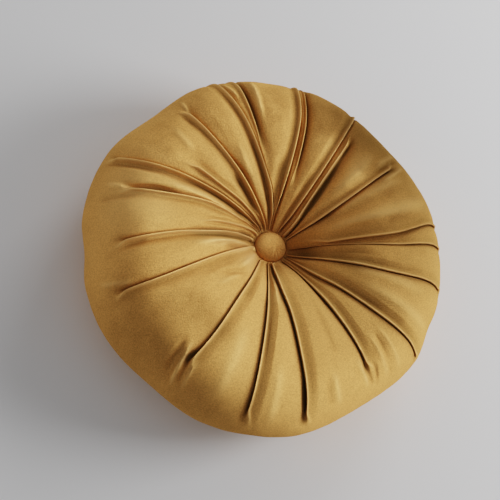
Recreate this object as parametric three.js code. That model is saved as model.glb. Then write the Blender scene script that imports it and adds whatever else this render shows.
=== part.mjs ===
// A round pleated cushion lying on its back: one filled cover whose cloth runs from face to face over the rim and is
// drawn in radial pleats to a covered button at the middle of each face.
// Millimetres, +Z up along the front face's normal, origin on the surface it rests on, under the middle of its outline.
import * as THREE from "three";

// Driving dimensions.
const RIM_RADIUS = 202.5; // button axis to the fullest part of the rim
const RIM_HEIGHT = 54; // the widest ring, above the surface the cushion rests on
const FRONT_RISE = 64; // how far each face would swell past the widest ring with no button
const BACK_RISE = 60;
const FRONT_DIMPLE = 41; // how far each button pulls its face in, and how far out that reaches
const BACK_DIMPLE = 37;
const DIMPLE_REACH = 42;
const SHOULDER_POWER = 5.4; // the higher, the fuller the shoulder between face and rim
const ROUNDING_POWER = 1.83;
const BUTTON_RADIUS = 17.25;
const BUTTON_HEIGHT = 10.5;
const BUTTON_SIDES = 36;
const NECK_RADIUS = 17.5; // where the cloth goes in under the button
const SEAT_DEPTH = 4; // the cloth under the button, below that neck
const SEAT_RADIUS = 17.7;
const SEAT_GAP = 0.3; // clearance between a button and the cloth that it sits on
const PUFF_SHARE = 0.055; // swell of the cloth between two pleats, as a share of the space between them
const PUFF_MOST = 2.6;
const BACK_SOFTNESS = 0.6; // the back's pleats are pressed flatter than the front's
const BACK_FADE = [170, 205]; // where they die away, in millimetres of cloth from the middle of the back
const RIM_SOFTNESS = 0.5; // the loss of a front pleat's depth by the time that it reaches the rim
const RIM_START = 70; // the outline's unevenness grows from this radius to the rim

// The outline is drawn in between some pleats. Degrees round the cushion, degrees to each side, millimetres.
const FLATS = [
  { at: 43, spread: 29, inset: 7 },
  { at: 82, spread: 14, inset: 1.5 },
  { at: 129, spread: 20, inset: 7.5 },
  { at: 182, spread: 12, inset: 4 },
  { at: 228, spread: 22, inset: 4.2 },
  { at: 300, spread: 28, inset: 7 },
  { at: 335, spread: 11, inset: 3 },
];

// Each pleat of the front, counterclockwise. The first six columns are degrees round the cushion at PLEAT_STATIONS.
// from and to say where its fold opens and dies away, in millimetres of cloth from the middle of the face.
// depth is the crevice, open its extra width, crest the rolled edge beside it, and back 1 where the back has it too.
const PLEAT_STATIONS = [20, 36, 56, 90, 140, 200];
const PLEAT_COLUMNS = ["root", "neck", "inner", "middle", "outer", "tip", "from", "to", "depth", "open", "crest", "back"];
const PLEATS = [
  [25.5, 26.8, 28.0, 29.6, 32.2, 33.2, 0, 195, 6.0, 0.0, 1.8, 1],
  [40.0, 44.0, 48.5, 51.0, 52.6, 50.0, 0, 155, 3.0, 1.5, 2.2, 0],
  [61.0, 57.8, 55.8, 55.2, 56.0, 55.8, 0, 250, 6.0, 0.0, 2.2, 1],
  [70.0, 70.0, 71.0, 73.0, 74.0, 75.3, 85, 225, 3.5, 1.0, 2.0, 0],
  [84.0, 83.0, 81.2, 78.5, 76.9, 78.4, 0, 250, 6.0, 0.0, 2.2, 1],
  [87.4, 87.6, 89.0, 94.0, 98.2, 99.0, 110, 250, 4.0, 1.5, 1.8, 0],
  [90.6, 92.0, 94.6, 98.4, 102.6, 105.8, 0, 245, 6.0, 0.0, 2.4, 1],
  [101.0, 109.0, 115.0, 119.2, 122.3, 122.0, 0, 198, 6.5, 0.0, 2.2, 1],
  [119.0, 124.0, 131.0, 137.0, 140.5, 141.0, 0, 132, 4.0, 1.5, 2.6, 0],
  [121.5, 129.5, 137.0, 143.2, 149.2, 152.0, 0, 232, 6.5, 0.0, 2.4, 1],
  [131.0, 141.5, 149.0, 155.3, 161.0, 162.5, 0, 188, 7.0, 1.0, 2.0, 1],
  [140.0, 154.0, 164.3, 169.0, 172.0, 173.0, 0, 92, 3.0, 1.5, 2.6, 0],
  [161.0, 166.5, 171.5, 177.0, 181.6, 184.0, 0, 194, 6.0, 0.0, 2.2, 1],
  [186.0, 191.0, 196.0, 199.3, 201.0, 200.0, 0, 208, 6.5, 0.0, 2.0, 1],
  [231.5, 234.0, 235.5, 235.5, 235.2, 233.5, 0, 196, 7.5, 0.6, 1.8, 1],
  [257.5, 256.5, 257.0, 258.2, 258.5, 258.7, 0, 226, 7.0, 0.4, 1.6, 1],
  [270.0, 268.5, 271.0, 275.5, 277.0, 277.5, 0, 224, 8.5, 1.6, 1.6, 1],
  [309.0, 306.0, 304.3, 304.6, 304.5, 303.3, 0, 192, 7.5, 0.8, 1.6, 1],
  [321.5, 316.8, 316.0, 319.8, 321.6, 323.0, 0, 236, 7.0, 0.3, 1.6, 1],
  [333.0, 335.3, 338.0, 342.0, 344.7, 347.5, 0, 236, 6.5, 0.0, 2.0, 1],
  [354.0, 355.5, 357.0, 357.8, 359.0, 361.4, 0, 236, 6.0, 0.0, 1.8, 1],
  [358.0, 358.5, 359.4, 361.0, 364.0, 368.5, 55, 236, 5.0, 0.0, 2.0, 0],
].map((row) => Object.fromEntries(row.map((value, i) => [PLEAT_COLUMNS[i], value])));
const FADE_IN = 25; // a fold that opens part of the way out does so over this much cloth
const FADE_OUT = 26; // and dies away over this much

// The cross-section of one pleat: millimetres across it, shares of its depth and of its crest, and side of the
// opening that the point moves with.
const FOLD = [
  { across: -6.0, sink: 0.0, lift: 0.0, side: -1 },
  { across: -1.5, sink: 0.3, lift: 0.0, side: -1 },
  { across: 0.0, sink: 1.0, lift: 0.0, side: 0 },
  { across: 2.2, sink: 0.0, lift: 1.0, side: 1 },
  { across: 6.5, sink: 0.22, lift: 0.0, side: 1 },
];
const FOLD_BEFORE = 8; // cloth that a whole pleat takes up before and after its crevice
const FOLD_AFTER = 12;
const PANEL_STEP = 8; // degrees between the points on the cloth between two pleats

// Rows of points from the button to the widest ring, in millimetres of cloth from the middle of the face.
const FRONT_ROWS = [20, 24.5, 30, 37, 46, 57, 70, 86, 104, 122, 140, 157, 172, 186, 199, 211, 222, 232, 242];
const BACK_ROWS = [230, 218, 204, 189, 172, 154, 136, 118, 99, 80, 62, 46, 33, 24.5, 20];

const DEGREE = Math.PI / 180;
const smooth = (t) => {
  const c = Math.min(1, Math.max(0, t));
  return c * c * (3 - 2 * c);
};

const fade = (distance, start, end) => 1 - smooth((distance - start) / (end - start));

// The height of a face over the widest ring, at a distance from the button's axis.
function faceHeight(radius, rise, dimple) {
  const share = Math.min(1, radius / RIM_RADIUS);
  const dome = rise * (1 - share ** SHOULDER_POWER) ** (1 / ROUNDING_POWER);
  return dome - dimple * Math.exp((NECK_RADIUS - radius) / DIMPLE_REACH);
}

// One face's line from the button to the widest ring, with its arc length, so that points can be found along it.
function meridian(rise, dimple) {
  const steps = 600;
  const line = [];
  for (let i = 0; i <= steps; i++) {
    const radius = NECK_RADIUS + (RIM_RADIUS - NECK_RADIUS) * Math.sin((i / steps) * 90 * DEGREE);
    line.push(new THREE.Vector2(radius, faceHeight(radius, rise, dimple)));
  }
  const lengths = [NECK_RADIUS];
  line.slice(1).forEach((point, i) => lengths.push(lengths[i] + point.distanceTo(line[i])));
  return { line, lengths, end: lengths[steps] };
}

// The point of a face's line at a distance along the cloth, and the outward normal there.
function along(face, distance) {
  let i = face.lengths.findIndex((length) => length > distance);
  i = i < 1 ? (i === 0 ? 1 : face.line.length - 1) : i;
  const [a, b] = [face.line[i - 1], face.line[i]];
  const share = (distance - face.lengths[i - 1]) / (face.lengths[i] - face.lengths[i - 1]);
  const tangent = b.clone().sub(a).normalize();
  return { point: a.clone().lerp(b, share), normal: new THREE.Vector2(-tangent.y, tangent.x) };
}

// How far the outline is drawn in at an angle.
function insetAt(degrees) {
  return FLATS.reduce((sum, flat) => {
    const off = Math.abs(((degrees - flat.at + 540) % 360) - 180) / flat.spread;
    return sum + (off < 1 ? (flat.inset * (1 + Math.cos(off * Math.PI))) / 2 : 0);
  }, 0);
}

// The angle of a pleat at a distance along the front's cloth: a smooth line through its six stations.
function frontAngle(pleat, distance) {
  const angles = PLEAT_COLUMNS.slice(0, PLEAT_STATIONS.length).map((name) => pleat[name]);
  const last = PLEAT_STATIONS.length - 1;
  let k = PLEAT_STATIONS.findIndex((station) => station > distance) - 1;
  if (k === -2) return angles[last];
  if (k === -1) return angles[0];
  const slope = (i) =>
    i === 0 || i === last ? 0 : (angles[i + 1] - angles[i - 1]) / (PLEAT_STATIONS[i + 1] - PLEAT_STATIONS[i - 1]);
  const step = PLEAT_STATIONS[k + 1] - PLEAT_STATIONS[k];
  const t = (distance - PLEAT_STATIONS[k]) / step;
  const [t2, t3] = [t * t, t * t * t];
  return (
    angles[k] * (2 * t3 - 3 * t2 + 1) +
    slope(k) * step * (t3 - 2 * t2 + t) +
    angles[k + 1] * (3 * t2 - 2 * t3) +
    slope(k + 1) * step * (t3 - t2)
  );
}

// The back's pleats go on from the front's tips, and are spread evenly by the time that they reach the button.
const backSpacing = 360 / PLEATS.length;
const backStart = PLEATS.reduce((sum, pleat, i) => sum + pleat.tip - i * backSpacing, 0) / PLEATS.length;
function backAngle(index, distance) {
  const even = backStart + index * backSpacing;
  return THREE.MathUtils.lerp(even, PLEATS[index].tip, smooth((distance - NECK_RADIUS) / BACK_FADE[0]));
}

// How strongly a pleat shows at a distance along the cloth, from 0 to 1.
function strength(pleat, distance, isBack) {
  if (isBack) return pleat.back * BACK_SOFTNESS * fade(distance, BACK_FADE[0], BACK_FADE[1]);
  const opened = pleat.from > 0 ? 1 - fade(distance, pleat.from, pleat.from + FADE_IN) : 1;
  const eased = 1 - RIM_SOFTNESS * (1 - fade(distance, 160, 230));
  return opened * eased * fade(distance, pleat.to - FADE_OUT, pleat.to);
}

// One ring of points round the cushion, at a distance along the cloth of a face.
function ring(face, distance, isBack) {
  const { point, normal } = along(face, distance);
  const degreesPerMm = 1 / (point.x * DEGREE);
  const angles = PLEATS.map((pleat, i) => (isBack ? backAngle(i, distance) : frontAngle(pleat, distance)));
  const gaps = angles.map((angle, i) => (angles[i + 1] ?? angles[0] + 360) - angle);
  const fits = gaps.map((gap) => Math.min(1, (0.9 * gap) / degreesPerMm / (FOLD_BEFORE + FOLD_AFTER)));
  const nearRim = smooth((point.x - RIM_START) / (RIM_RADIUS - RIM_START));
  const points = [];
  const place = (degrees, rise) => {
    const shrink = 1 - (insetAt(degrees) * nearRim) / RIM_RADIUS;
    const radius = (point.x + normal.x * rise) * shrink;
    const height = point.y + normal.y * rise;
    const z = Math.max(0, RIM_HEIGHT + (isBack ? -height : height));
    points.push(new THREE.Vector3(radius * Math.cos(degrees * DEGREE), radius * Math.sin(degrees * DEGREE), z));
  };
  PLEATS.forEach((pleat, i) => {
    const fitBefore = fits[(i + PLEATS.length - 1) % PLEATS.length];
    const shown = strength(pleat, distance, isBack);
    FOLD.forEach(({ across, sink, lift, side }) => {
      const fit = across < 0 ? fitBefore : fits[i];
      const shift = (across + (side * pleat.open) / 2) * fit * degreesPerMm;
      place(angles[i] + shift, shown * Math.sqrt(fit) * (lift * pleat.crest - sink * pleat.depth));
    });
    const start = angles[i] + FOLD_AFTER * fits[i] * degreesPerMm;
    const end = angles[i] + gaps[i] - FOLD_BEFORE * fits[i] * degreesPerMm;
    const puff = Math.min(PUFF_MOST, (PUFF_SHARE * gaps[i]) / degreesPerMm) * (isBack ? BACK_SOFTNESS : 1);
    const count = panelPoints[i];
    for (let k = 0; k < count; k++) {
      const t = (k + 0.5) / count;
      place(start + (end - start) * t, puff * Math.sin(t * Math.PI) * (1 - nearRim / 2));
    }
  });
  return points;
}

// The number of points across the cloth between each pleat and the next, from their spacing at the tips.
const panelPoints = PLEATS.map((pleat, i) => {
  const next = PLEATS[i + 1]?.tip ?? PLEATS[0].tip + 360;
  return Math.max(1, Math.round((next - pleat.tip) / PANEL_STEP) - 1);
});

// The filled cover as one closed solid: the rings of both faces, and a flat seat under each button.
function cushionGeometry() {
  const front = meridian(FRONT_RISE, FRONT_DIMPLE);
  const back = meridian(BACK_RISE, BACK_DIMPLE);
  const frontSeat = RIM_HEIGHT + front.line[0].y - SEAT_DEPTH;
  const backSeat = RIM_HEIGHT - back.line[0].y + SEAT_DEPTH;
  const rings = [
    ...FRONT_ROWS.map((distance) => ring(front, distance, false)),
    ...BACK_ROWS.map((distance) => ring(back, distance, true)),
  ];
  const seatRing = (edge, z) =>
    edge.map((p) => new THREE.Vector3(p.x, p.y, 0).setLength(SEAT_RADIUS).setZ(z));
  rings.unshift(seatRing(rings[0], frontSeat));
  rings.push(seatRing(rings.at(-1), backSeat));
  const columns = rings[0].length;
  const points = [...rings.flat(), new THREE.Vector3(0, 0, frontSeat), new THREE.Vector3(0, 0, backSeat)];
  const [frontMiddle, backMiddle] = [points.length - 2, points.length - 1];
  const faces = [];
  const lastRing = (rings.length - 1) * columns;
  for (let c = 0; c < columns; c++) {
    const next = (c + 1) % columns;
    faces.push(frontMiddle, c, next);
    faces.push(backMiddle, lastRing + next, lastRing + c);
    for (let r = 0; r < rings.length - 1; r++) {
      const [near, far] = [r * columns, (r + 1) * columns];
      faces.push(near + c, far + c, far + next, near + c, far + next, near + next);
    }
  }
  const geometry = new THREE.BufferGeometry().setFromPoints(points).setIndex(faces);
  geometry.computeVertexNormals();
  return { geometry, frontSeat, backSeat };
}

// A covered button: a flat underside, a rounded edge and a low dome.
function buttonGeometry() {
  const edgeHeight = 3.6;
  const profile = new THREE.Path()
    .moveTo(0, 0)
    .lineTo(13.5, 0)
    .quadraticCurveTo(BUTTON_RADIUS, 0, BUTTON_RADIUS, edgeHeight)
    .bezierCurveTo(BUTTON_RADIUS, edgeHeight + 3.4, BUTTON_RADIUS * 0.62, BUTTON_HEIGHT, 0, BUTTON_HEIGHT);
  const outline = profile.getPoints(6);
  outline.at(-1).x = 0;
  return new THREE.LatheGeometry(outline, BUTTON_SIDES).rotateX(90 * DEGREE);
}

function mesh(name, geometry, color) {
  const material = new THREE.MeshStandardMaterial({ color, roughness: 0.85, metalness: 0 });
  const made = new THREE.Mesh(geometry, material);
  made.name = name;
  return made;
}

const { geometry, frontSeat, backSeat } = cushionGeometry();
const cushion = mesh("cushion", geometry, 0xb5832f);
const frontButton = mesh("front_button", buttonGeometry(), 0xb88a45);
frontButton.position.z = frontSeat + SEAT_GAP;
const backButton = mesh("back_button", buttonGeometry(), 0xb88a45);
backButton.rotation.x = 180 * DEGREE;
backButton.position.z = backSeat - SEAT_GAP;

// The outline isn't quite centred on the buttons, so the whole cushion moves to put its middle over the origin.
geometry.computeBoundingBox();
const middle = geometry.boundingBox.getCenter(new THREE.Vector3());
const part = new THREE.Group();
part.add(cushion, frontButton, backButton);
part.position.set(-middle.x, -middle.y, 0);

export default new THREE.Group().add(part);
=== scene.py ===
"""The looks of a round pleated velvet cushion: cover, folds, covered buttons, velvet, floor and light."""

import bpy
import numpy as np
from mathutils import Matrix, Vector, noise


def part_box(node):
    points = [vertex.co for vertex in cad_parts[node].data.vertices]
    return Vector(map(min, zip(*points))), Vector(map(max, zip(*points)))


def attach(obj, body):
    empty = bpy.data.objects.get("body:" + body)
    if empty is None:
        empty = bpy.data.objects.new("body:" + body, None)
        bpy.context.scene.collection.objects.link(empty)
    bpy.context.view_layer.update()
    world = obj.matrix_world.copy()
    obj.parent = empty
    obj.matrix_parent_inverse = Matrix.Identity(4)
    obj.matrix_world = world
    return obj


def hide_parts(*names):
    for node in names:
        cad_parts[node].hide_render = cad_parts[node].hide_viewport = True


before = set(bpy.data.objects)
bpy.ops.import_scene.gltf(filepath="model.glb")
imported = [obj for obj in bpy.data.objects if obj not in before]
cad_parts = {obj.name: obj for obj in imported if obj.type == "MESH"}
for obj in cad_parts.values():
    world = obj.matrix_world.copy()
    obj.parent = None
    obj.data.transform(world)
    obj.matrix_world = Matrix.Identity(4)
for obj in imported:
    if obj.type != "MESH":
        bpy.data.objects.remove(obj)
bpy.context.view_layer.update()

# Lengths are millimetres here and become metres when a mesh is made. Angles are degrees, counterclockwise
# from the photo's right. A distance is millimetres of cloth from the middle of a face.
MM = 0.001
TINY = 1e-6
button_low, button_high = (np.array(corner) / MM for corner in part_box("front_button"))
back_button_low, back_button_high = (np.array(corner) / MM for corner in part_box("back_button"))
AXIS = ((button_low + button_high) / 2)[:2]  # where the buttons' axis stands
BUTTON_RADIUS = (button_high[0] - button_low[0]) / 2
SEAT_GAP = 0.3  # between a button and the cloth it sits on

# The cover's main sizes, as in the solids.
RIM_RADIUS = 202.5
RIM_HEIGHT = 54
FRONT_RISE = 64
BACK_RISE = 60
FRONT_DIMPLE = 41
BACK_DIMPLE = 37
DIMPLE_REACH = 42
SHOULDER_POWER = 5.4
ROUNDING_POWER = 1.83
NECK_RADIUS = 17.5
NECK_EDGE = NECK_RADIUS + 0.6  # where the first row of points lies outside the button's neck
SEAT_RADII = (5, 15)  # the cloth under a button
RIM_START = 70  # the outline is drawn in from this radius outwards

LINE_POINTS = 1500  # in the line from a button's neck to the widest ring
SLOPE_REACH = 0.8  # how far to each side of a point its slope is taken
FRONT_STEP = 2.5  # cloth between two rows of points
BACK_STEP = 6.0
# For each face: is it the back, which way it faces, its rise, its dimple and its step.
FACES = [
    (False, 1, FRONT_RISE, FRONT_DIMPLE, FRONT_STEP),
    (True, -1, BACK_RISE, BACK_DIMPLE, BACK_STEP),
]

# The filling pushes a net of cloth out between its folds. The net has this many columns and frames, and this
# much cloth between two rows.
NET_COLUMNS = 180
NET_STEP = 7
NET_FRAMES = 16
HELD_WIDTH = 5  # it is held along each fold, over this width
HELD_GAIN = 2  # a fold that shows by half holds it fully
PIN_GAIN = 1.3  # a point that is held by 1 / PIN_GAIN or more doesn't move at all
FLOOR_HELD = 1  # it is held where it lies lower than this
SWELL_MOST = 6
SINK_MOST = 1.2
SWELL_SMOOTHINGS = 2
SWELL_FADE = (165, 225)  # the swell dies down over this stretch of cloth, so that the outline stays smooth
SWELL_AT_RIM = 0.2  # the share of it that is left there

# The back's folds are shallower and rounder than the front's, stand open by BACK_GAPE, and end over this
# stretch of cloth.
BACK_SOFTNESS = 0.6
BACK_ROUNDING = 0.4
BACK_GAPE = 0.3
BACK_FADE = (170, 205)

# The outline is drawn in between some folds: direction, spread to each side, depth.
FLATS = [
    (43, 29, 7.0),
    (82, 14, 1.5),
    (129, 20, 7.5),
    (182, 12, 4.0),
    (228, 22, 4.2),
    (300, 28, 7.0),
    (335, 11, 3.0),
]

# Each fold, counterclockwise. The first six columns are its direction at the distances in FOLD_STATIONS.
# start and end say where it opens and dies away, depth how deep its crevice is, gape_in and gape_out how far
# that stands open near the button and near the rim, crest how high its rolled edge stands, and trough how far
# the cloth dips beyond that. sharp is 1 for a folded edge and 0 for a soft roll, and back is 1 where the fold
# goes on over the back.
FOLD_STATIONS = (20, 36, 56, 90, 140, 200)
FOLD_COLUMNS = (
    "root neck inner middle outer tip start end depth gape_in gape_out crest trough sharp back"
).split()
FOLD_ROWS = [
    (23.5, 24.9, 26.2, 29.1, 31.9, 33.0, 0, 188, 5.5, 0.2, 0.1, 2.4, 1.6, 1.0, 1),
    (37.5, 40.9, 46.7, 50.7, 52.4, 53.4, 0, 166, 6.0, 1.4, 1.2, 5.0, 0.8, 0.3, 0),
    (60.0, 56.2, 55.4, 55.4, 55.8, 56.0, 0, 250, 7.0, 0.2, 0.3, 2.4, 1.6, 1.0, 1),
    (71.0, 71.0, 71.6, 72.6, 73.6, 75.8, 60, 228, 6.0, 0.8, 2.2, 2.8, 1.0, 0.8, 0),
    (86.0, 84.6, 80.9, 77.9, 76.7, 78.2, 0, 250, 7.5, 1.2, 0.4, 2.8, 1.6, 1.0, 1),
    (87.2, 86.0, 86.6, 95.4, 98.6, 99.7, 92, 250, 5.5, 0.5, 2.8, 1.8, 0.6, 0.7, 0),
    (88.5, 87.2, 90.5, 97.4, 102.3, 105.8, 0, 245, 7.0, 0.3, 0.2, 2.4, 2.4, 1.0, 1),
    (101.0, 107.0, 112.8, 117.9, 121.9, 123.4, 0, 196, 7.5, 0.6, 0.2, 2.4, 1.6, 1.0, 1),
    (113.5, 120.5, 128.2, 136.2, 140.0, 141.0, 0, 138, 1.6, 1.0, 1.2, 4.0, 1.4, 0.3, 0),
    (120.0, 128.8, 136.6, 142.9, 148.7, 152.0, 0, 226, 7.0, 0.4, 0.2, 2.4, 3.2, 1.0, 1),
    (129.0, 139.4, 147.8, 154.2, 161.1, 163.4, 0, 190, 8.0, 0.3, 0.6, 2.6, 1.0, 1.0, 1),
    (137.0, 148.0, 159.0, 167.5, 171.0, 172.5, 0, 98, 1.2, 1.0, 1.6, 4.0, 1.6, 0.3, 0),
    (157.0, 163.0, 170.3, 176.7, 181.4, 183.6, 0, 194, 6.5, 0.3, 0.3, 2.2, 3.0, 1.0, 1),
    (184.0, 189.5, 194.8, 198.9, 201.2, 200.6, 0, 206, 6.0, 0.2, 0.0, 1.8, 1.4, 1.0, 1),
    (231.0, 233.2, 235.0, 235.2, 235.2, 233.4, 0, 196, 6.5, 0.0, 0.2, 1.4, 1.2, 1.0, 1),
    (257.0, 256.2, 256.8, 257.9, 258.2, 258.4, 0, 226, 6.5, 0.0, 0.2, 1.6, 2.0, 1.0, 1),
    (268.5, 267.4, 270.6, 275.2, 276.8, 277.6, 0, 226, 9.0, 0.6, 0.6, 1.6, 1.6, 1.0, 1),
    (306.0, 304.6, 304.0, 304.1, 303.9, 303.3, 0, 192, 6.5, 0.1, 0.2, 1.4, 1.6, 1.0, 1),
    (321.5, 316.6, 315.6, 319.4, 321.4, 323.2, 0, 240, 5.5, 0.1, -0.2, 1.6, 1.6, 1.0, 1),
    (331.0, 333.2, 337.2, 341.3, 344.2, 347.1, 0, 236, 5.0, 0.0, -0.3, 2.0, 1.6, 1.0, 1),
    (352.0, 353.6, 355.8, 357.3, 358.5, 361.4, 0, 236, 4.0, -0.2, -0.3, 2.2, 1.0, 1.0, 1),
    (355.5, 356.4, 357.6, 360.8, 363.9, 369.0, 30, 236, 4.5, 0.2, -0.2, 2.4, 1.6, 1.0, 0),
]
FOLDS = [dict(zip(FOLD_COLUMNS, row)) for row in FOLD_ROWS]
ROOTING = 4  # a fold comes in over this much cloth outside the button's neck
FADE_IN = 60  # one that starts further out comes in over this much
FADE_OUT = 28  # each dies away over this much
RIM_FADE = (160, 230)  # a front fold loses depth over this stretch of cloth
RIM_EASE = 0.5  # and it loses this share of it
MOUTH = 30  # a crevice rounds off over this much cloth before it dies away
MOUTH_SHARPNESS = 0.25  # the share of its sharpness that is left at its end
GAPE_BLEND = (40, 160)  # gape_in gives way to gape_out over this stretch
SECTION_GAIN = 1.6  # how early a fold that comes in has its full section
ROOM_USED = 0.92  # the share of the room between two folds that they may fill
CROWDED_POWER = 0.25  # how much shallower a fold gets where it is squeezed
CROWDED_SAG = 2.5  # how far the cloth sinks between two folds that run close together
SAG_BLEND = (1, 4)  # the sag begins and is complete this far from a fold's line

# How much painted shade and painted highlight the folds and creases get. A crevice at least SHADED_DEPTH
# deep has the darkest painted shade at its bottom. A higher power keeps the painted shade or highlight
# narrower.
SHADED_DEPTH = 6.0
CREVICE_SHADE = 1.5
POCKET_SHADE = 0.35  # how much darker each millimetre of gape makes it
SOFT_SHADE_POWER = 3.2
SHARP_SHADE_DROP = 1.5  # how much lower that power is in a sharp fold
TROUGH_SHADE = 0.4
CREST_POWER = 1.6
SAG_SHADE = 0.12  # for each millimetre, as the next two
CREASE_SHADE = 0.15
CREASE_SHINE = 0.3

# Where a fold stands open further, as a pocket: fold, middle and half length along the cloth, extra gape.
POCKETS = [
    (0, 74, 30, 1.6),
    (1, 84, 56, 1.8),
    (4, 62, 44, 2.2),
    (7, 88, 34, 2.4),
    (10, 150, 32, 4.8),
    (14, 180, 22, 4.2),
    (15, 200, 26, 2.0),
    (16, 188, 34, 3.0),
    (16, 42, 24, 1.6),
    (17, 84, 40, 0.8),
    (18, 54, 20, 0.8),
]

# A fold's cross-section as a row of points: across the fold, share of the gape that moves it, and the shares
# of the crevice's depth, the crest and the trough beside it that give its height.
SHARP_SECTION = np.array([
    (-9.5, 0.0, 0.00, 0.0, 0.0),
    (-6.0, -0.2, -0.02, 0.0, 0.0),
    (-3.6, -0.6, -0.06, 0.0, 0.0),
    (-1.7, -1.0, -0.14, 0.0, 0.0),
    (-0.7, -0.95, -0.28, 0.0, 0.0),
    (-0.1, -0.6, -0.50, 0.0, 0.0),
    (0.5, -0.1, -0.70, 0.0, 0.0),
    (1.4, 0.0, -0.62, 0.0, 0.0),
    (1.3, 0.0, -0.42, 0.0, 0.0),
    (0.7, 0.0, -0.22, 0.1, 0.0),
    (0.4, 0.0, -0.05, 0.5, 0.0),
    (0.6, 0.0, 0.00, 0.92, 0.0),
    (1.4, 0.0, 0.00, 1.0, -0.05),
    (2.7, 0.0, 0.00, 0.5, -0.5),
    (4.6, 0.0, 0.00, 0.0, -1.0),
    (7.6, 0.0, 0.00, 0.0, -0.7),
    (12.5, 0.0, 0.00, 0.0, 0.0),
])
SOFT_SECTION = np.array([
    (-9.5, 0.0, 0.00, 0.0, 0.0),
    (-7.4, -0.3, -0.12, 0.0, 0.0),
    (-6.0, -0.6, -0.35, 0.0, 0.0),
    (-4.8, -0.8, -0.62, 0.0, 0.0),
    (-3.8, -0.9, -0.84, 0.0, 0.0),
    (-2.9, -0.9, -0.98, 0.0, 0.0),
    (-2.1, -0.9, -1.00, 0.0, 0.0),
    (-1.4, -0.7, -0.85, 0.0, 0.0),
    (-0.7, -0.4, -0.55, 0.1, 0.0),
    (0.0, -0.1, -0.22, 0.4, 0.0),
    (0.8, 0.0, -0.05, 0.7, 0.0),
    (1.7, 0.0, 0.00, 0.93, 0.0),
    (2.7, 0.0, 0.00, 1.0, 0.0),
    (4.0, 0.0, 0.00, 0.8, -0.2),
    (6.0, 0.0, 0.00, 0.35, -0.5),
    (8.6, 0.0, 0.00, 0.05, -0.4),
    (12.5, 0.0, 0.00, 0.0, 0.0),
])
# Where along those rows a fold's points are taken.
SECTION_SAMPLES = (
    0, 1.1, 2.1, 2.9, 3.7, 4.4, 5.1, 5.8, 6.6, 7.5, 8.3, 9.1, 9.8, 10.5, 11.2, 12, 12.9, 13.8, 14.9, 16,
)
FOLD_BEFORE = -SHARP_SECTION[0, 0]
FOLD_AFTER = SHARP_SECTION[-1, 0]
PANEL_STEP = 1.15  # degrees between points on the cloth between two folds, at the rim

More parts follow.
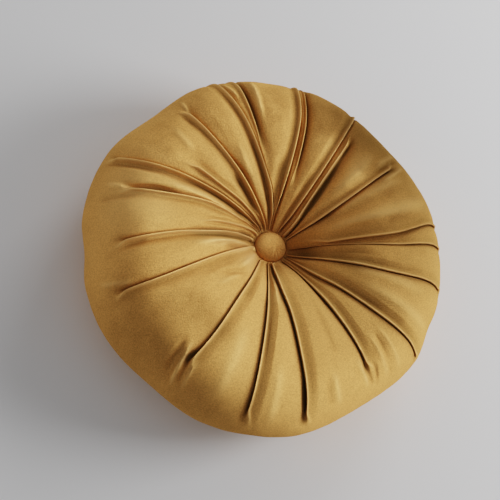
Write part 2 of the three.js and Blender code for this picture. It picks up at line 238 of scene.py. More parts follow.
# Small soft creases and rolls: direction and place where each begins and ends, width, height.
CREASES = [
    (349.5, 20, 352.0, 115, 4.0, -2.4),
    (341.0, 22, 347.0, 90, 4.0, -2.4),
    (341.0, 90, 341.5, 180, 6.0, 1.0),
    (372.5, 60, 377.0, 200, 7.0, 1.6),
    (369.0, 70, 371.0, 190, 5.0, -1.6),
    (381.0, 60, 384.0, 170, 5.0, -1.2),
    (387.0, 70, 388.0, 175, 5.0, 1.2),
    (30.0, 150, 31.6, 196, 2.2, 1.6),
    (34.8, 150, 35.0, 198, 2.2, -1.8),
    (37.2, 156, 37.2, 198, 2.4, 1.2),
    (46.5, 45, 49.5, 150, 5.0, -3.0),
    (40.0, 90, 42.0, 160, 6.0, 1.2),
    (64.0, 24, 60.5, 90, 3.0, -1.4),
    (75.8, 95, 76.0, 150, 2.2, -1.4),
    (92.0, 24, 98.0, 62, 2.4, -2.6),
    (97.0, 50, 103.2, 124, 3.4, -3.0),
    (89.0, 38, 84.5, 104, 4.4, -2.2),
    (95.4, 145, 95.2, 208, 2.4, 1.8),
    (102.6, 176, 104.8, 208, 2.2, 1.4),
    (111.5, 60, 112.5, 120, 4.0, 0.8),
    (109.0, 10, 121.5, 40, 3.0, -2.0),
    (118.0, 40, 124.0, 92, 4.2, -4.2),
    (124.0, 172, 121.4, 205, 2.2, 1.4),
    (125.6, 160, 125.6, 190, 2.0, -0.8),
    (128.0, 120, 127.5, 185, 6.0, -0.8),
    (135.0, 140, 133.0, 175, 4.0, 0.8),
    (130.0, 24, 144.0, 62, 3.0, -2.6),
    (141.0, 46, 149.5, 130, 3.4, -3.4),
    (150.0, 60, 156.5, 140, 3.6, 1.8),
    (153.0, 150, 155.0, 212, 3.0, -1.8),
    (163.5, 172, 162.4, 202, 2.4, 1.2),
    (166.0, 166, 168.0, 204, 3.6, -1.8),
    (158.0, 22, 167.0, 46, 3.0, -2.4),
    (171.0, 12, 181.0, 112, 4.4, -5.0),
    (181.5, 14, 187.0, 100, 4.0, 3.4),
    (187.5, 22, 193.0, 66, 3.0, -2.2),
    (184.5, 155, 186.5, 182, 3.0, -1.0),
    (199.5, 176, 196.0, 212, 2.6, 1.2),
    (206.0, 170, 204.0, 212, 5.0, -0.9),
    (209.0, 20, 219.0, 60, 5.0, 1.8),
    (229.0, 52, 212.0, 88, 3.6, -2.0),
    (224.0, 66, 219.0, 100, 3.4, 0.8),
    (207.0, 56, 207.5, 112, 3.6, -1.0),
    (230.6, 166, 233.4, 216, 2.2, 2.2),
    (227.8, 166, 229.8, 210, 2.6, -1.8),
    (233.0, 174, 235.0, 208, 2.0, -1.4),
    (236.0, 176, 236.8, 212, 2.0, 1.2),
    (239.0, 45, 242.0, 95, 4.0, -1.4),
    (248.0, 120, 247.0, 200, 7.0, 1.0),
    (261.5, 30, 261.8, 160, 3.0, -2.0),
    (266.0, 30, 264.0, 90, 4.0, 1.2),
    (267.0, 150, 266.0, 214, 5.0, 0.9),
    (286.0, 170, 287.0, 206, 3.0, -1.2),
    (289.0, 166, 290.0, 206, 3.0, 1.2),
    (293.0, 90, 292.0, 150, 4.0, -0.9),
    (300.8, 164, 301.4, 204, 2.4, 1.3),
    (302.9, 174, 303.5, 204, 1.8, -1.5),
    (316.5, 150, 315.4, 208, 2.0, 1.1),
    (313.6, 152, 311.8, 212, 1.7, -1.5),
    (310.8, 150, 309.8, 206, 2.0, 1.0),
    (307.8, 164, 305.4, 208, 1.7, -1.6),
    (323.8, 95, 325.5, 205, 3.0, -1.2),
    (331.0, 110, 332.0, 210, 6.0, 1.1),
]
CREASE_FULL = 0.45  # the share of its half length over which a crease keeps its height
CREASE_FADING = 0.75  # and the share over which it then dies away

# Patches of painted shade, or of painted highlight where the last number is negative: direction and
# distance of the middle, half width in degrees, half length along the cloth, strength.
SHADE_AND_SHEEN_PATCHES = [
    (42, 190, 44, 52, 0.6),
    (352, 38, 52, 26, 0.35),
    (342, 98, 22, 40, 0.4),
    (228, 136, 28, 26, 0.3),
    (80, 100, 18, 60, 0.15),
    (50, 132, 24, 26, -0.2),
    (165, 165, 30, 60, -0.35),
    (205, 36, 46, 36, -0.35),
    (265, 62, 24, 30, -0.15),
]

# The cloth's unevenness: height, size across and along the folds. The size across is right at RUFFLE_RADIUS.
RUFFLES = [(0.6, 30, 75), (0.32, 9, 48)]
RUFFLE_RADIUS = 130
RUFFLE_START = (18, 48)  # it comes in over this stretch of cloth

# The gathers on a button: which way from the middle they lie and how far out they start, and the turn and
# depth of each.
GATHER_DIRECTION = -42
GATHER_PLACE = 4.6
GATHER_WIDTH = 0.8
GATHERS = [(-58, 0.5), (-30, 0.6), (2, 0.45), (30, 0.6), (58, 0.4), (120, 0.3)]
GATHER_START = 2  # how far from where they start they are fully deep
GATHER_FADE = (9, 14)  # and where they die away

# A button's section, from the middle of its dome (0) to the middle of its underside (1).
BUTTON_RINGS = 40
BUTTON_SIDES = 180
DOME_SHARE = 0.72  # its dome ends and its edge turns under here
DOME_POWERS = (0.92, 1.15)  # how its radius and its height round off
WIDEST_HEIGHT = 0.34  # the share of its height at which it is widest
UNDERCUT = 0.24  # how far its edge draws in underneath, as a share of its radius
UNDERCUT_POWER = 1.3
GATHERS_END = 0.8  # no gathers beyond here
PUCKER = 0.35  # how uneven its edge is, in and out
PUCKER_LIFT = 0.5  # and up and down, as a share of that
PUCKER_START = 0.45
PUCKER_BLEND = 0.3  # it is complete this far on
PUCKER_END = 0.9  # and flat underneath from here
PUCKER_TURNS = 2.6  # more makes finer puckers
PUCKER_SEED = 7
BUTTON_NAP = 1.0  # how far the pile leans at a button's edge, and which way, counterclockwise from outward
BUTTON_NAP_TURN = -115

# How the pile was stroked. Each row is a direction, how far the pile leans inward there at the distances in
# NAP_STATIONS, and how far it leans counterclockwise there, as shares of its height. The first values were
# those of a least-squares fit to the photo's brightness, rounded. They were then changed.
NAP_STATIONS = (40, 130, 180)
NAP_STROKES = [
    (0, 1.3, 0.5, 1.0, 0.1, 0.7, 1.4),
    (45, 0.0, 0.2, 1.0, 0.1, 0.5, 1.4),
    (90, -0.1, -0.2, 0.4, 0.0, -0.2, 0.1),
    (135, 0.0, 0.2, 0.3, -1.0, -0.3, -0.1),
    (180, 0.4, 0.7, 0.0, -1.1, -0.4, 0.0),
    (225, 0.4, 0.0, 0.5, 0.1, 0.5, 0.8),
    (270, -0.3, 0.4, 0.8, 1.0, 0.9, 1.1),
    (315, 1.6, 1.2, 0.8, 0.4, 0.8, 1.2),
]
NAP_SPREAD_MOST = 0.7  # the furthest that the pile turns beyond the cloth
NAP_RUFFLE = 0.65  # how unevenly the pile lies

# The velvet. Each noise is a scale, a detail and a roughness.
VELVET_SOCKETS = {
    "IOR": 3.6,
    "Specular IOR Level": 0.9,
    "Sheen Weight": 0.3,
    "Sheen Roughness": 0.45,
    "Sheen Tint": (1.0, 0.58, 0.2, 1),
}
MUSTARD_TONES = ((0.62, 0.262, 0.08, 1), (0.26, 0.103, 0.034, 1))  # bright and dark
BUTTON_TONES = ((0.85, 0.33, 0.1, 1), (0.34, 0.125, 0.04, 1))
# Painted shade: the colour deep in the folds, creases and dark patches.
PAINTED_SHADE_TONE = (0.1, 0.046, 0.01, 1)
# Painted highlight: the colour on the crests, raised creases and pale patches.
PAINTED_SHEEN_TONE = (1.0, 0.58, 0.24, 1)
GLOSS_TONES = ((0.56, 0.32, 0.1, 1), (1.0, 0.565, 0.18, 1))
# The gloss under the painted shade.
PAINTED_SHADE_GLOSS = (0.18, 0.11, 0.03, 1)
MOTTLE_NOISE = (22, 4, 0.6)
MOTTLE_RANGE = (0.3, 0.7)
MOTTLE_SHARE = 0.4  # the rest of the colour's change comes from the pile
PILE_NOISE = (640, 3, 0.7)
PILE_RANGE = (0.34, 0.66)
BUMP_NOISE = (700, 3, 0.7)
BUMP_STRENGTH = 0.66
BUMP_DISTANCE = 0.0014  # in metres
NAP_NOISE = (55, 3, 0.6)
PAINTED_SHADE_STRENGTH = 1.0  # how strongly the painted shade darkens a hollow and the painted highlight lightens a crest
PAINTED_SHEEN_STRENGTH = 0.9
ROUGHNESS = 0.7
CREST_POLISH = 0.32  # how much less rough a crest is

# The camera as worked out from the photo.
IMAGE_SIZE = 500
SENSOR_WIDTH = 36
FOCAL_PIXELS = 1464
VIEW_DISTANCE = 1600
VIEW_TILT = 25.1  # how far the face leans away
VIEW_LEAN = 51.3  # and which way
CENTRE_PIXEL = (264.6, 253.9)  # where the middle of the cushion shows

# Each light: name, direction, elevation, watts. Their distance and size are metres.
LIGHTS = [("key", 0, 24, 30), ("side", 60, 22, 11), ("fill", 180, 5, 6)]
LIGHT_DISTANCE = 1.8
LIGHT_SIZE = 0.8
WORLD_COLOUR = (1.0, 1.0, 1.0, 1)
WORLD_STRENGTH = 0.27
FLOOR_HALF = 3000
FLOOR_DROP = 0.2  # just under the cushion
FLOOR_COLOUR = (0.78, 0.78, 0.79, 1)
FLOOR_ROUGHNESS = 0.9


def smooth(t):
    t = np.clip(t, 0, 1)
    return t * t * (3 - 2 * t)


def grow(distance, start, end):
    """0 before start, 1 after end."""
    return smooth((distance - start) / (end - start))


def fade(distance, start, end):
    """1 before start, 0 after end."""
    return 1 - grow(distance, start, end)


def turned_from(direction, degrees):
    """How far some angles lie from a direction, between -180 and 180."""
    return (degrees - direction + 540) % 360 - 180


def face_line(rise, dimple):
    """One face from the button's neck to the widest ring: cloth length, radius and height along it."""
    radius = NECK_RADIUS + (RIM_RADIUS - NECK_RADIUS) * np.sin(np.linspace(0, np.pi / 2, LINE_POINTS))
    dome = rise * (1 - (radius / RIM_RADIUS) ** SHOULDER_POWER).clip(0) ** (1 / ROUNDING_POWER)
    height = dome - dimple * np.exp((NECK_RADIUS - radius) / DIMPLE_REACH)
    length = NECK_RADIUS + np.append(0, np.hypot(np.diff(radius), np.diff(height)).cumsum())
    return {"length": length, "radius": radius, "height": height}


def along(face, distance):
    """Radius, height and outward normal of a face at a distance along its cloth."""
    radius, height = (np.interp(distance, face["length"], face[name]) for name in ("radius", "height"))
    near = (distance - SLOPE_REACH, distance + SLOPE_REACH)
    before, after = (np.clip(place, face["length"][0], face["length"][-1]) for place in near)
    tangent = np.array([
        np.interp(after, face["length"], face[name]) - np.interp(before, face["length"], face[name])
        for name in ("radius", "height")
    ])
    tangent /= np.linalg.norm(tangent)
    return radius, height, (-tangent[1], tangent[0])


def spline(points, samples):
    """A smooth line through a section's points, sampled at fractions of their index."""
    padded = np.vstack([2 * points[0] - points[1], points, 2 * points[-1] - points[-2]])
    result = []
    for sample in samples:
        k = min(int(sample), len(points) - 2)
        t = sample - k
        a, b, c, d = padded[k : k + 4]
        square, cube = 2 * a - 5 * b + 4 * c - d, 3 * b - a - 3 * c + d
        result.append(0.5 * (2 * b + (c - a) * t + square * t**2 + cube * t**3))
    return np.array(result)


# The two sections at their sampled points, and the same points on level cloth.
SHARP = spline(SHARP_SECTION, SECTION_SAMPLES)
SOFT = spline(SOFT_SECTION, SECTION_SAMPLES)
LEVEL = np.linspace(-FOLD_BEFORE, FOLD_AFTER, len(SECTION_SAMPLES))

# How many points the cloth between each fold and the next has, and how the back's folds are spaced.
PANEL_POINTS = [
    max(2, round(((FOLDS[(i + 1) % len(FOLDS)]["tip"] - fold["tip"]) % 360) / PANEL_STEP) - 2)
    for i, fold in enumerate(FOLDS)
]
BACK_SPACING = 360 / len(FOLDS)
BACK_START = np.mean([fold["tip"] - i * BACK_SPACING for i, fold in enumerate(FOLDS)])


def front_direction(fold, distance):
    """A smooth line through a fold's six stations."""
    angles = np.array([fold[name] for name in FOLD_COLUMNS[: len(FOLD_STATIONS)]])
    stations = np.array(FOLD_STATIONS, float)
    slopes = np.zeros(len(angles))
    slopes[1:-1] = (angles[2:] - angles[:-2]) / (stations[2:] - stations[:-2])
    k = int(np.clip(np.searchsorted(stations, distance, side="right") - 1, 0, len(stations) - 2))
    step = stations[k + 1] - stations[k]
    t = float(np.clip((distance - stations[k]) / step, 0, 1))
    return (
        angles[k] * (2 * t**3 - 3 * t**2 + 1)
        + slopes[k] * step * (t**3 - 2 * t**2 + t)
        + angles[k + 1] * (3 * t**2 - 2 * t**3)
        + slopes[k + 1] * step * (t**3 - t**2)
    )


def back_direction(index, distance):
    """The back's folds meet the front's at the rim and are evenly spaced at the button."""
    even = BACK_START + index * BACK_SPACING
    return even + (FOLDS[index]["tip"] - even) * smooth((distance - NECK_RADIUS) / BACK_FADE[0])


def fold_directions(distance, is_back):
    if is_back:
        return np.array([back_direction(i, distance) for i in range(len(FOLDS))])
    return np.array([front_direction(fold, distance) for fold in FOLDS])


def strength(fold, distance, is_back):
    """How strongly a fold shows, from 0 to 1."""
    rooted = smooth((distance - NECK_RADIUS) / ROOTING)
    if is_back:
        return rooted * fold["back"] * BACK_SOFTNESS * fade(distance, *BACK_FADE)
    opened = smooth((distance - fold["start"]) / FADE_IN) if fold["start"] else 1
    eased = 1 - RIM_EASE * grow(distance, *RIM_FADE)
    return rooted * opened * eased * fade(distance, fold["end"] - FADE_OUT, fold["end"])


def inset(degrees):
    """How far the outline is drawn in at each angle."""
    total = np.zeros_like(degrees)
    for at, spread, depth in FLATS:
        off = np.abs(turned_from(at, degrees)) / spread
        total += np.where(off < 1, depth * (1 + np.cos(off * np.pi)) / 2, 0)
    return total


def crease_height(degrees, distance, radius):
    """The small creases and rolls, all added up, at one distance along the front's cloth."""
    total = np.zeros_like(degrees)
    for from_angle, start, to_angle, end, width, height in CREASES:
        reach = (end - start) / 2
        beyond = abs(distance - (start + end) / 2) - reach * CREASE_FULL
        shown = 1 - smooth(beyond / (reach * CREASE_FADING))
        if shown > 0:
            line = from_angle + (to_angle - from_angle) * (distance - start) / (end - start)
            off = turned_from(line, degrees) * np.radians(1) * radius / width
            total += shown * height * np.exp(-(off**2))
    return total


def lifted(line, sign, degrees, lift):
    """Points of a face at some angles, lifted off its line but never under the floor, and the way that the
    plain body faces there."""
    radius, height, normal = line
    turn = np.radians(degrees)
    near_rim = grow(radius, RIM_START, RIM_RADIUS)
    out = (radius + normal[0] * lift) * (1 - inset(degrees) * near_rim / RIM_RADIUS)
    z = np.maximum(RIM_HEIGHT + sign * (height + normal[1] * lift), 0)
    facing = (normal[0] * np.cos(turn), normal[0] * np.sin(turn), np.full(len(z), sign * normal[1]))
    return np.stack([out * np.cos(turn), out * np.sin(turn), z], 1), np.stack(facing, 1)


def net_rows():
    """The plain body as a net for each face: the distances of its rows, its points, their normals, and how
    firmly the folds, the button's neck and the floor hold them."""
    degrees = np.arange(NET_COLUMNS) * 360 / NET_COLUMNS
    nets = []
    for is_back, sign, rise, dimple, _ in FACES:
        face = face_line(rise, dimple)
        distances = np.linspace(NECK_EDGE, face["length"][-1], round(face["length"][-1] / NET_STEP))
        points, normals, held = [], [], []
        for distance in distances:
            line = along(face, distance)
            hold = np.full(NET_COLUMNS, 1.0 if distance < NECK_RADIUS + NET_STEP else 0.0)
            for fold, at in zip(FOLDS, fold_directions(distance, is_back)):
                off = turned_from(at, degrees) * np.radians(1) * line[0] / HELD_WIDTH
                firm = min(1, HELD_GAIN * strength(fold, distance, is_back))
                hold = np.maximum(hold, firm * np.exp(-(off**2)))
            places, facing = lifted(line, sign, degrees, -hold)
            hold[places[:, 2] < FLOOR_HELD] = 1
            points.append(places)
            normals.append(facing)
            held.append(hold)
        nets.append([distances, *map(np.array, (points, normals, held))])
    return nets


def add_object(name, data):
    made = bpy.data.objects.new(name, data)
    bpy.context.scene.collection.objects.link(made)
    return made


def add_mesh(name, points, faces):
    """A mesh from points in millimetres."""
    mesh = bpy.data.meshes.new(name)
    mesh.from_pydata((np.asarray(points) * MM).tolist(), [], faces)
    return add_object(name, mesh)


def round_faces(rows, columns):
    """The faces between rows of points that each go once round, the points' numbers, and the number of the
    point that follows each."""
    index = np.arange(rows * columns).reshape(rows, columns)
    following = np.roll(index, -1, 1)
    quads = np.stack([index[:-1], index[1:], following[1:], following[:-1]], -1)
    return quads.reshape(-1, 4).tolist(), index, following


def fill_cover():
    """Cloth simulation of the filled cover between its folds. For each face it gives the distances of the
    net's rows and how far their points swell."""
    front, back = net_rows()
    points, normals, held = (np.concatenate([front[k], back[k][-2::-1]]) for k in (1, 2, 3))
    net = add_mesh("net", points.reshape(-1, 3), round_faces(*held.shape)[0])
    group = net.vertex_groups.new(name="held")
    for i, weight in enumerate(held.ravel()):
        group.add([i], min(1, PIN_GAIN * weight), "REPLACE")
    cloth = net.modifiers.new("cloth", "CLOTH")
    cloth.point_cache.frame_end = NET_FRAMES
    settings = cloth.settings
    settings.quality = 6
    settings.mass = 0.05
    settings.tension_stiffness = settings.compression_stiffness = 5
    settings.shear_stiffness = 2
    settings.bending_stiffness = 10
    settings.use_pressure = True
    settings.uniform_pressure_force = 100
    settings.shrink_min = -0.02  # below 0 it grows
    settings.vertex_group_mass = group.name
    settings.effector_weights.gravity = 0
    for number in range(1, NET_FRAMES + 1):
        bpy.context.scene.frame_set(number)
    filled = net.evaluated_get(bpy.context.evaluated_depsgraph_get()).data
    moved = np.array([v.co for v in filled.vertices]).reshape(points.shape) / MM - points
    bpy.context.scene.frame_set(1)
    bpy.data.objects.remove(net)
    swell = (moved * normals).sum(-1).clip(-SINK_MOST, SWELL_MOST)
    for _ in range(SWELL_SMOOTHINGS):
        swell = (np.roll(swell, 1, 1) + 2 * swell + np.roll(swell, -1, 1)) / 4
        swell[1:-1] = (swell[:-2] + 2 * swell[1:-1] + swell[2:]) / 4
    split = len(front[0])
    return [(front[0], swell[:split]), (back[0], swell[split - 1 :][::-1])]


def swell_at(filled, degrees, distance):
    """How far the filled cover swells at some angles, at one distance along a face's cloth."""
    distances, swell = filled
    place = float(np.interp(distance, distances, np.arange(len(distances))))
    k = min(int(place), len(distances) - 2)
    row = swell[k] + (swell[k + 1] - swell[k]) * (place - k)
    row = row * (SWELL_AT_RIM + (1 - SWELL_AT_RIM) * fade(distance, *SWELL_FADE))
    return np.interp(degrees % 360, np.arange(NET_COLUMNS) * 360 / NET_COLUMNS, row, period=360)


def squeezed(across, room, reach):
    """Places across a fold, moved closer together towards the far end so that the reach fits in the room."""
    return across / (1 + np.abs(across) * (1 / room - 1 / reach).clip(0))


def section_of(fold, distance, is_back):
    """A fold's cross-section: the sharp or the soft one, or one between them."""
    left = MOUTH_SHARPNESS + (1 - MOUTH_SHARPNESS) * fade(distance, fold["end"] - MOUTH, fold["end"])
    return SOFT + (SHARP - SOFT) * (fold["sharp"] * left * (1 - BACK_ROUNDING * is_back))


def gape_of(index, distance, is_back):
    """How far a fold stands open."""
    if is_back:
        return BACK_GAPE
    fold = FOLDS[index]
    gape = fold["gape_in"] + (fold["gape_out"] - fold["gape_in"]) * grow(distance, *GAPE_BLEND)
    for number, middle, half, more in POCKETS:
        if number == index:
            gape += more * (1 - smooth(abs(distance - middle) / half))
    return gape


def shade_of(fold, section, gape):
    """How much painted shade each point of a fold's section gets."""
    deep = CREVICE_SHADE * min(1, fold["depth"] / SHADED_DEPTH) * (1 + POCKET_SHADE * max(gape, 0))
    power = SOFT_SHADE_POWER - SHARP_SHADE_DROP * fold["sharp"]
    return deep * np.maximum(-section[:, 2], 0) ** power - TROUGH_SHADE * section[:, 4]


def ring(face, filled, distance, is_back):
    """One row of points round the cushion: the face's line there, the points' angles, their heights over that
    line, how much painted shade they get, and how much painted highlight."""
    line = along(face, distance)
    per_mm = 1 / (line[0] * np.radians(1))
    directions = fold_directions(distance, is_back)
    gaps = np.append(directions[1:], directions[0] + 360) - directions
    fits = np.minimum(1, ROOM_USED * gaps / per_mm / (FOLD_BEFORE + FOLD_AFTER))
    shows = np.array([strength(fold, distance, is_back) for fold in FOLDS])
    sags = CROWDED_SAG * (1 - fits) * np.minimum(shows, np.roll(shows, -1))
    angles, heights, painted_shades, sheen_marks = [], [], [], []
    for i, fold in enumerate(FOLDS):
        fit = np.where(LEVEL < 0, fits[i - 1], fits[i])
        reach = np.where(LEVEL < 0, FOLD_BEFORE, FOLD_AFTER)
        sag = np.where(LEVEL < 0, sags[i - 1], sags[i]) * grow(np.abs(LEVEL), *SAG_BLEND)
        section = section_of(fold, distance, is_back)
        gape = gape_of(i, distance, is_back)
        across = section[:, 0] + section[:, 1] * gape
        across = LEVEL + (across - LEVEL) * min(1, SECTION_GAIN * shows[i])
        shares = (fold["depth"], fold["crest"], fold["trough"])
        rise = sum(share * section[:, k] for k, share in enumerate(shares, 2))
        shown = shows[i] * fit**CROWDED_POWER
        angles.append(directions[i] + squeezed(across, fit * reach, reach) * per_mm)
        heights.append(shown * rise - sag)
        # Painted shade in the crevice and in the trough beside its edge.
        painted_shades.append(shown * shade_of(fold, section, gape))
        # Painted highlight on its crest.
        sheen_marks.append(shows[i] * np.maximum(section[:, 3], 0) ** CREST_POWER)
        # The cloth from this fold to the next.
        start = directions[i] + FOLD_AFTER * fits[i] * per_mm
        end = directions[i] + gaps[i] - FOLD_BEFORE * fits[i] * per_mm
        count = PANEL_POINTS[i]
        angles.append(start + (end - start) * (np.arange(count) + 1) / (count + 1))
        heights.append(np.full(count, -sags[i]))
        # Painted shade where the cloth sags between crowded folds.
        painted_shades.append(np.full(count, SAG_SHADE * sags[i]))
        sheen_marks.append(np.zeros(count))
    angles, heights, painted_shades, sheen_marks = map(np.concatenate, (angles, heights, painted_shades, sheen_marks))
    heights += swell_at(filled, angles, distance)
    if not is_back:
        creases = crease_height(angles, distance, line[0])
        heights += creases
        # Painted shade in sunken creases.
        painted_shades += CREASE_SHADE * np.maximum(-creases, 0)
        # Painted highlight on raised creases.
        sheen_marks += CREASE_SHINE * np.maximum(creases, 0)
        # Patches of painted shade and painted highlight.
        for at, middle, spread, half, shade in SHADE_AND_SHEEN_PATCHES:
            off = np.hypot(turned_from(at, angles) / spread, (distance - middle) / half)
            painted_shades += max(shade, 0) * (1 - smooth(off))
            sheen_marks += max(-shade, 0) * (1 - smooth(off))
    return line, angles, heights, painted_shades, sheen_marks


def ruffle(angles, distance):
    """The unevenness of filled cloth, drawn out along the folds. The back's distances are negative."""
    total = np.zeros_like(angles)
    turn = np.radians(angles)
    for height, across, length in RUFFLES:
        turns = RUFFLE_RADIUS / across
        places = zip(np.cos(turn) * turns, np.sin(turn) * turns)
        total += height * np.array([noise.noise(Vector((x, y, distance / length))) for x, y in places])
    return total * grow(abs(distance), *RUFFLE_START)


def pile_lean(angles, distance):
    """How far the pile leans inward, and round the cushion, in one row."""
    strokes = np.array(NAP_STROKES)
    place = angles % 360 * len(strokes) / 360
    k = place.astype(int) % len(strokes)
    part = smooth(place - k)[:, None]
    leans = (strokes[k] * (1 - part) + strokes[(k + 1) % len(strokes)] * part)[:, 1:]
    count = len(NAP_STATIONS)
    here = np.interp(distance, NAP_STATIONS, range(count))
    weights = np.maximum(0, 1 - np.abs(here - np.arange(count)))
    return leans[:, :count] @ weights, leans[:, count:] @ weights


def cover_rows():
    """The whole cover, row by row, from under the front button to under the back one. The columns are a
    point's place, the way the plain body faces there, how much painted shade and painted highlight it gets,
    and how far the pile leans inward and round."""
    rows = []
    for (is_back, sign, rise, dimple, step), filled in zip(FACES, fill_cover()):
        face = face_line(rise, dimple)
        rim = face["length"][-1]
        face_rows = []
        for distance in np.linspace(NECK_EDGE, rim, round((rim - NECK_EDGE) / step) + 1):
            line, angles, heights, painted_shades, sheen_marks = ring(face, filled, distance, is_back)
            lift = heights + ruffle(angles, sign * distance)
            leans = pile_lean(angles, distance)
            face_rows.append(np.column_stack([*lifted(line, sign, angles, lift), painted_shades, sheen_marks, *leans]))
        seat = back_button_high[2] + SEAT_GAP if is_back else button_low[2] - SEAT_GAP
        unit = face_rows[0][:, :2] / np.linalg.norm(face_rows[0][:, :2], axis=1, keepdims=True)
        for seat_radius in reversed(SEAT_RADII):
            under = np.zeros_like(face_rows[0])
            under[:, :2], under[:, 2], under[:, 5] = unit * seat_radius, seat, sign
            face_rows.insert(0, under)
        rows += face_rows[::-1][1:] if is_back else face_rows
    return np.array(rows)


def closed_mesh(name, rows):
    """A closed smooth mesh from rows of points that each go once round the buttons' axis."""
    count, columns = rows.shape[:2]
    caps = [(*AXIS, rows[i, :, 2].mean()) for i in (0, -1)]
    quads, index, following = round_faces(count, columns)
    front = [(count * columns, a, b) for a, b in zip(index[0], following[0])]
    back = [(count * columns + 1, b, a) for a, b in zip(index[-1], following[-1])]
    made = add_mesh(name, np.vstack([rows.reshape(-1, 3) + (*AXIS, 0), caps]), quads + front + back)
    made.data.shade_smooth()
    made.data.update()
    return made


def store(piece, name, values):
    """Keeps a number or a vector for each point of a piece, for its material."""
    kind, field = ("FLOAT", "value") if values.ndim == 1 else ("FLOAT_VECTOR", "vector")
    kept = piece.data.attributes.new(name, kind, "POINT")
    kept.data.foreach_set(field, values.astype(np.float32).ravel())


def store_nap(cover, facing, lean):
    """Stores how far the velvet's pile leans: along the strip round the cushion, and up it towards the front
    button. Where the cloth turns away from the plain body, the pile turns further than the cloth does."""
    points = np.array([v.co for v in cover.data.vertices]) - (*(AXIS * MM), 0)
    normals = np.array([v.normal for v in cover.data.vertices])
    radius = np.linalg.norm(points[:, :2], axis=1, keepdims=True).clip(TINY)
    sideways = np.column_stack([-points[:, 1:2] / radius, points[:, :1] / radius, np.zeros(len(points))])
    up_strip = np.cross(facing, sideways)
    up_strip /= np.linalg.norm(up_strip, axis=1, keepdims=True).clip(TINY)
    turned = normals - facing
    turned *= np.minimum(1, NAP_SPREAD_MOST / np.linalg.norm(turned, axis=1, keepdims=True).clip(TINY))
    store(cover, "nap", lean[:, :1] * up_strip + lean[:, 1:] * sideways + turned)


def make_cover():
    rows = cover_rows()
    cover = closed_mesh("velvet_cover", rows[..., :3])
    ends = [(0, 0, 1, 0, 0, 0, 0), (0, 0, -1, 0, 0, 0, 0)]  # the two points in the middle, under the buttons
    kept = np.vstack([rows[..., 3:].reshape(-1, len(ends[0])), ends])
    store_nap(cover, kept[:, :3], kept[:, 5:])
    # Painted shade in the folds, creases and dark patches.
    store(cover, "painted_shade", kept[:, 3])
    # Painted highlight on the crests, raised creases and pale patches; it also makes them less rough.
    store(cover, "crest", kept[:, 4])
    return cover


def gathers(x, y):
    """How deep the little gathers on one side of a button lie. They fan out from a point between its middle
    and its edge."""
    a = np.radians(GATHER_DIRECTION)
    x, y = x - GATHER_PLACE * np.cos(a), y - GATHER_PLACE * np.sin(a)
    away = np.hypot(x, y)
    total = np.zeros_like(x)
    for turn, depth in GATHERS:
        b = a + np.radians(turn)
        off = (x * np.sin(b) - y * np.cos(b)) / GATHER_WIDTH
        ahead = x * np.cos(b) + y * np.sin(b) > 0
        shown = smooth(away / GATHER_START) * fade(away, *GATHER_FADE)
        total += np.where(ahead, depth * np.exp(-(off**2)), 0) * shown
    return total


def button_section(t, height):
    """Radius and height of a button at a place along its section."""
    if t < DOME_SHARE:
        a = t / DOME_SHARE * np.pi / 2
        dome = np.cos(a) ** DOME_POWERS[1]
        return (
            BUTTON_RADIUS * np.sin(a) ** DOME_POWERS[0],
            height * (WIDEST_HEIGHT + (1 - WIDEST_HEIGHT) * dome),
        )
    a = (t - DOME_SHARE) / (1 - DOME_SHARE) * np.pi / 2
    under = UNDERCUT * (1 - np.cos(a)) ** UNDERCUT_POWER
    return BUTTON_RADIUS * (1 - under), height * WIDEST_HEIGHT * (1 - np.sin(a))


def make_button(name, low, high, faces_up):
    """A covered button: the cloth domes over it, and small puckers run in under its edge."""
    turn = np.linspace(0, 2 * np.pi, BUTTON_SIDES, endpoint=False)
    places = zip(np.cos(turn) * PUCKER_TURNS, np.sin(turn) * PUCKER_TURNS)
    wave = np.array([noise.noise(Vector((x, y, PUCKER_SEED * faces_up))) for x, y in places])
    rows = []
    for t in np.arange(1, BUTTON_RINGS) / (BUTTON_RINGS - 1):
        radius, z = button_section(t, high[2] - low[2])
        pucker = smooth((t - PUCKER_START) / PUCKER_BLEND) * PUCKER
        r = radius + pucker * wave
        x, y = r * np.cos(turn), r * np.sin(turn)
        z = z + PUCKER_LIFT * pucker * wave * (t < PUCKER_END) - (t < GATHERS_END) * gathers(x, y)
        rows.append(np.stack([x, y, low[2] + z if faces_up else high[2] - z], 1))
    rows = np.array(rows)
    button = closed_mesh(name, rows if faces_up else rows[::-1])
    x, y = np.array([v.co[:2] for v in button.data.vertices]).T / MM - AXIS[:, None]
    a = np.radians(BUTTON_NAP_TURN)
    outward = np.stack([x * np.cos(a) - y * np.sin(a), x * np.sin(a) + y * np.cos(a), 0 * x], 1)
    store(button, "nap", BUTTON_NAP / BUTTON_RADIUS * outward)
    return button


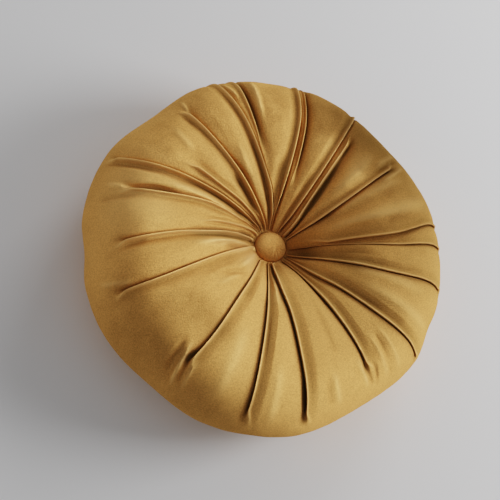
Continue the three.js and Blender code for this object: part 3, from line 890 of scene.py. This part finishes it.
def velvet(name, bright, dark):
    """Short-pile velvet: a soft body colour, mottled where the pile lies differently, with painted shade deep
    in the folds, and a painted highlight on their edges, which are also less rough."""
    material = bpy.data.materials.new(name)
    material.use_nodes = True
    nodes, links = material.node_tree.nodes, material.node_tree.links
    shader = nodes["Principled BSDF"]
    for socket, value in VELVET_SOCKETS.items():
        shader.inputs[socket].default_value = value

    def node_of(kind, output, values, **settings):
        """One output of a new node. A value is linked to its input where it is a socket, and set if not."""
        node = nodes.new(kind)
        for setting, value in settings.items():
            setattr(node, setting, value)
        for socket, value in values.items():
            if isinstance(value, bpy.types.NodeSocket):
                links.new(value, node.inputs[socket])
            else:
                node.inputs[socket].default_value = value
        return node.outputs[output]

    def noise_of(scale, detail, roughness, output="Fac"):
        values = {"Vector": place, "Scale": scale, "Detail": detail, "Roughness": roughness}
        return node_of("ShaderNodeTexNoise", output, values)

    def ramp(value, low, high):
        return node_of("ShaderNodeMapRange", "Result", {"Value": value, "From Min": low, "From Max": high})

    def math_of(operation, a, b):
        return node_of("ShaderNodeMath", "Value", {0: a, 1: b}, operation=operation)

    def vector_of(operation, *values):
        return node_of("ShaderNodeVectorMath", "Vector", dict(enumerate(values)), operation=operation)

    def mixed(factor, first, second):
        values = {"Factor": factor, "A": first, "B": second}
        return node_of("ShaderNodeMix", "Result", values, data_type="RGBA")

    def stored(attribute, output="Fac"):
        return node_of("ShaderNodeAttribute", output, {}, attribute_name=attribute)

    def share_of(attribute, share):
        return math_of("MINIMUM", math_of("MULTIPLY", stored(attribute), share), 1)

    place = nodes.new("ShaderNodeTexCoord").outputs["Object"]
    mottle = ramp(noise_of(*MOTTLE_NOISE), *MOTTLE_RANGE)
    pile = ramp(noise_of(*PILE_NOISE), *PILE_RANGE)
    parts = (math_of("MULTIPLY", mottle, MOTTLE_SHARE), math_of("MULTIPLY", pile, 1 - MOTTLE_SHARE))
    # Painted shade darkens the colour and the gloss in the hollows.
    in_painted_shade, sheen_and_polish = share_of("painted_shade", PAINTED_SHADE_STRENGTH), share_of("crest", PAINTED_SHEEN_STRENGTH)
    body = mixed(in_painted_shade, mixed(math_of("ADD", *parts), dark, bright), PAINTED_SHADE_TONE)
    gloss = mixed(in_painted_shade, mixed(pile, *GLOSS_TONES), PAINTED_SHADE_GLOSS)
    roughness = math_of("SUBTRACT", ROUGHNESS, math_of("MULTIPLY", sheen_and_polish, CREST_POLISH))

    # The pile leans as it was stroked, a little unevenly.
    ruffled = (noise_of(*NAP_NOISE, "Color"), [NAP_RUFFLE] * 3, stored("nap", "Vector"))
    nap = vector_of("SUBTRACT", vector_of("MULTIPLY_ADD", *ruffled), [NAP_RUFFLE / 2] * 3)
    normal = nodes.new("ShaderNodeNewGeometry").outputs["Normal"]
    bump = {
        "Strength": BUMP_STRENGTH,
        "Distance": BUMP_DISTANCE,
        "Height": noise_of(*BUMP_NOISE),
        "Normal": vector_of("NORMALIZE", vector_of("ADD", normal, nap)),
    }
    # The base colour takes the painted highlight on the crests.
    for socket, value in (
        ("Base Color", mixed(sheen_and_polish, body, PAINTED_SHEEN_TONE)),
        ("Specular Tint", gloss),
        ("Roughness", roughness),
        ("Normal", node_of("ShaderNodeBump", "Normal", bump)),
    ):
        links.new(value, shader.inputs[socket])
    return material


def make_camera():
    """The photo's view: the face leans away by VIEW_TILT, towards VIEW_LEAN."""
    lean = np.radians(VIEW_LEAN)
    tilt = np.radians(VIEW_TILT)
    normal = Vector((np.sin(tilt) * np.cos(lean), np.sin(tilt) * np.sin(lean), np.cos(tilt)))
    turn = Vector((0, 0, 1)).rotation_difference(normal).to_matrix()
    data = bpy.data.cameras.new("camera")
    data.sensor_width = SENSOR_WIDTH
    data.lens = FOCAL_PIXELS / IMAGE_SIZE * SENSOR_WIDTH
    camera = add_object("camera", data)
    off_centre = (np.array(CENTRE_PIXEL) - IMAGE_SIZE / 2) * VIEW_DISTANCE / FOCAL_PIXELS
    centre = Vector((*AXIS, RIM_HEIGHT)) * MM
    place = centre + turn.transposed() @ Vector((-off_centre[0], off_centre[1], VIEW_DISTANCE)) * MM
    camera.matrix_world = Matrix.Translation(place) @ turn.transposed().to_4x4()
    bpy.context.scene.camera = camera


def make_lights():
    """Square soft white lights aimed at the cushion, and a pale world."""
    for name, azimuth, elevation, watts in LIGHTS:
        data = bpy.data.lights.new(name, "AREA")
        data.size = LIGHT_SIZE
        data.energy = watts
        light = add_object(name, data)
        a, e = np.radians(azimuth), np.radians(elevation)
        away = Vector((np.cos(a) * np.cos(e), np.sin(a) * np.cos(e), np.sin(e)))
        light.location = away * LIGHT_DISTANCE
        light.rotation_euler = away.to_track_quat("Z", "Y").to_euler()
    world = bpy.data.worlds.new("world")
    world.use_nodes = True
    background = world.node_tree.nodes["Background"]
    background.inputs["Color"].default_value = WORLD_COLOUR
    background.inputs["Strength"].default_value = WORLD_STRENGTH
    bpy.context.scene.world = world
    bpy.context.scene.view_settings.view_transform = "Filmic"
    bpy.context.scene.view_settings.look = "Medium High Contrast"


def make_stage():
    corners = [(-1, -1), (1, -1), (1, 1), (-1, 1)]
    points = [(x * FLOOR_HALF, y * FLOOR_HALF, -FLOOR_DROP) for x, y in corners]
    floor = add_mesh("floor", points, [(0, 1, 2, 3)])
    material = bpy.data.materials.new("floor")
    material.use_nodes = True
    shader = material.node_tree.nodes["Principled BSDF"]
    shader.inputs["Base Color"].default_value = FLOOR_COLOUR
    shader.inputs["Roughness"].default_value = FLOOR_ROUGHNESS
    floor.data.materials.append(material)


make_camera()
make_lights()
make_stage()

cover = make_cover()
cover.data.materials.append(velvet("mustard_velvet", *MUSTARD_TONES))
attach(cover, "root")
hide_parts("cushion")

button_velvet = velvet("button_velvet", *BUTTON_TONES)
for name, node, low, high, faces_up in (
    ("front_button_cover", "front_button", button_low, button_high, True),
    ("back_button_cover", "back_button", back_button_low, back_button_high, False),
):
    button = make_button(name, low, high, faces_up)
    button.data.materials.append(button_velvet)
    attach(button, "root")
    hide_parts(node)
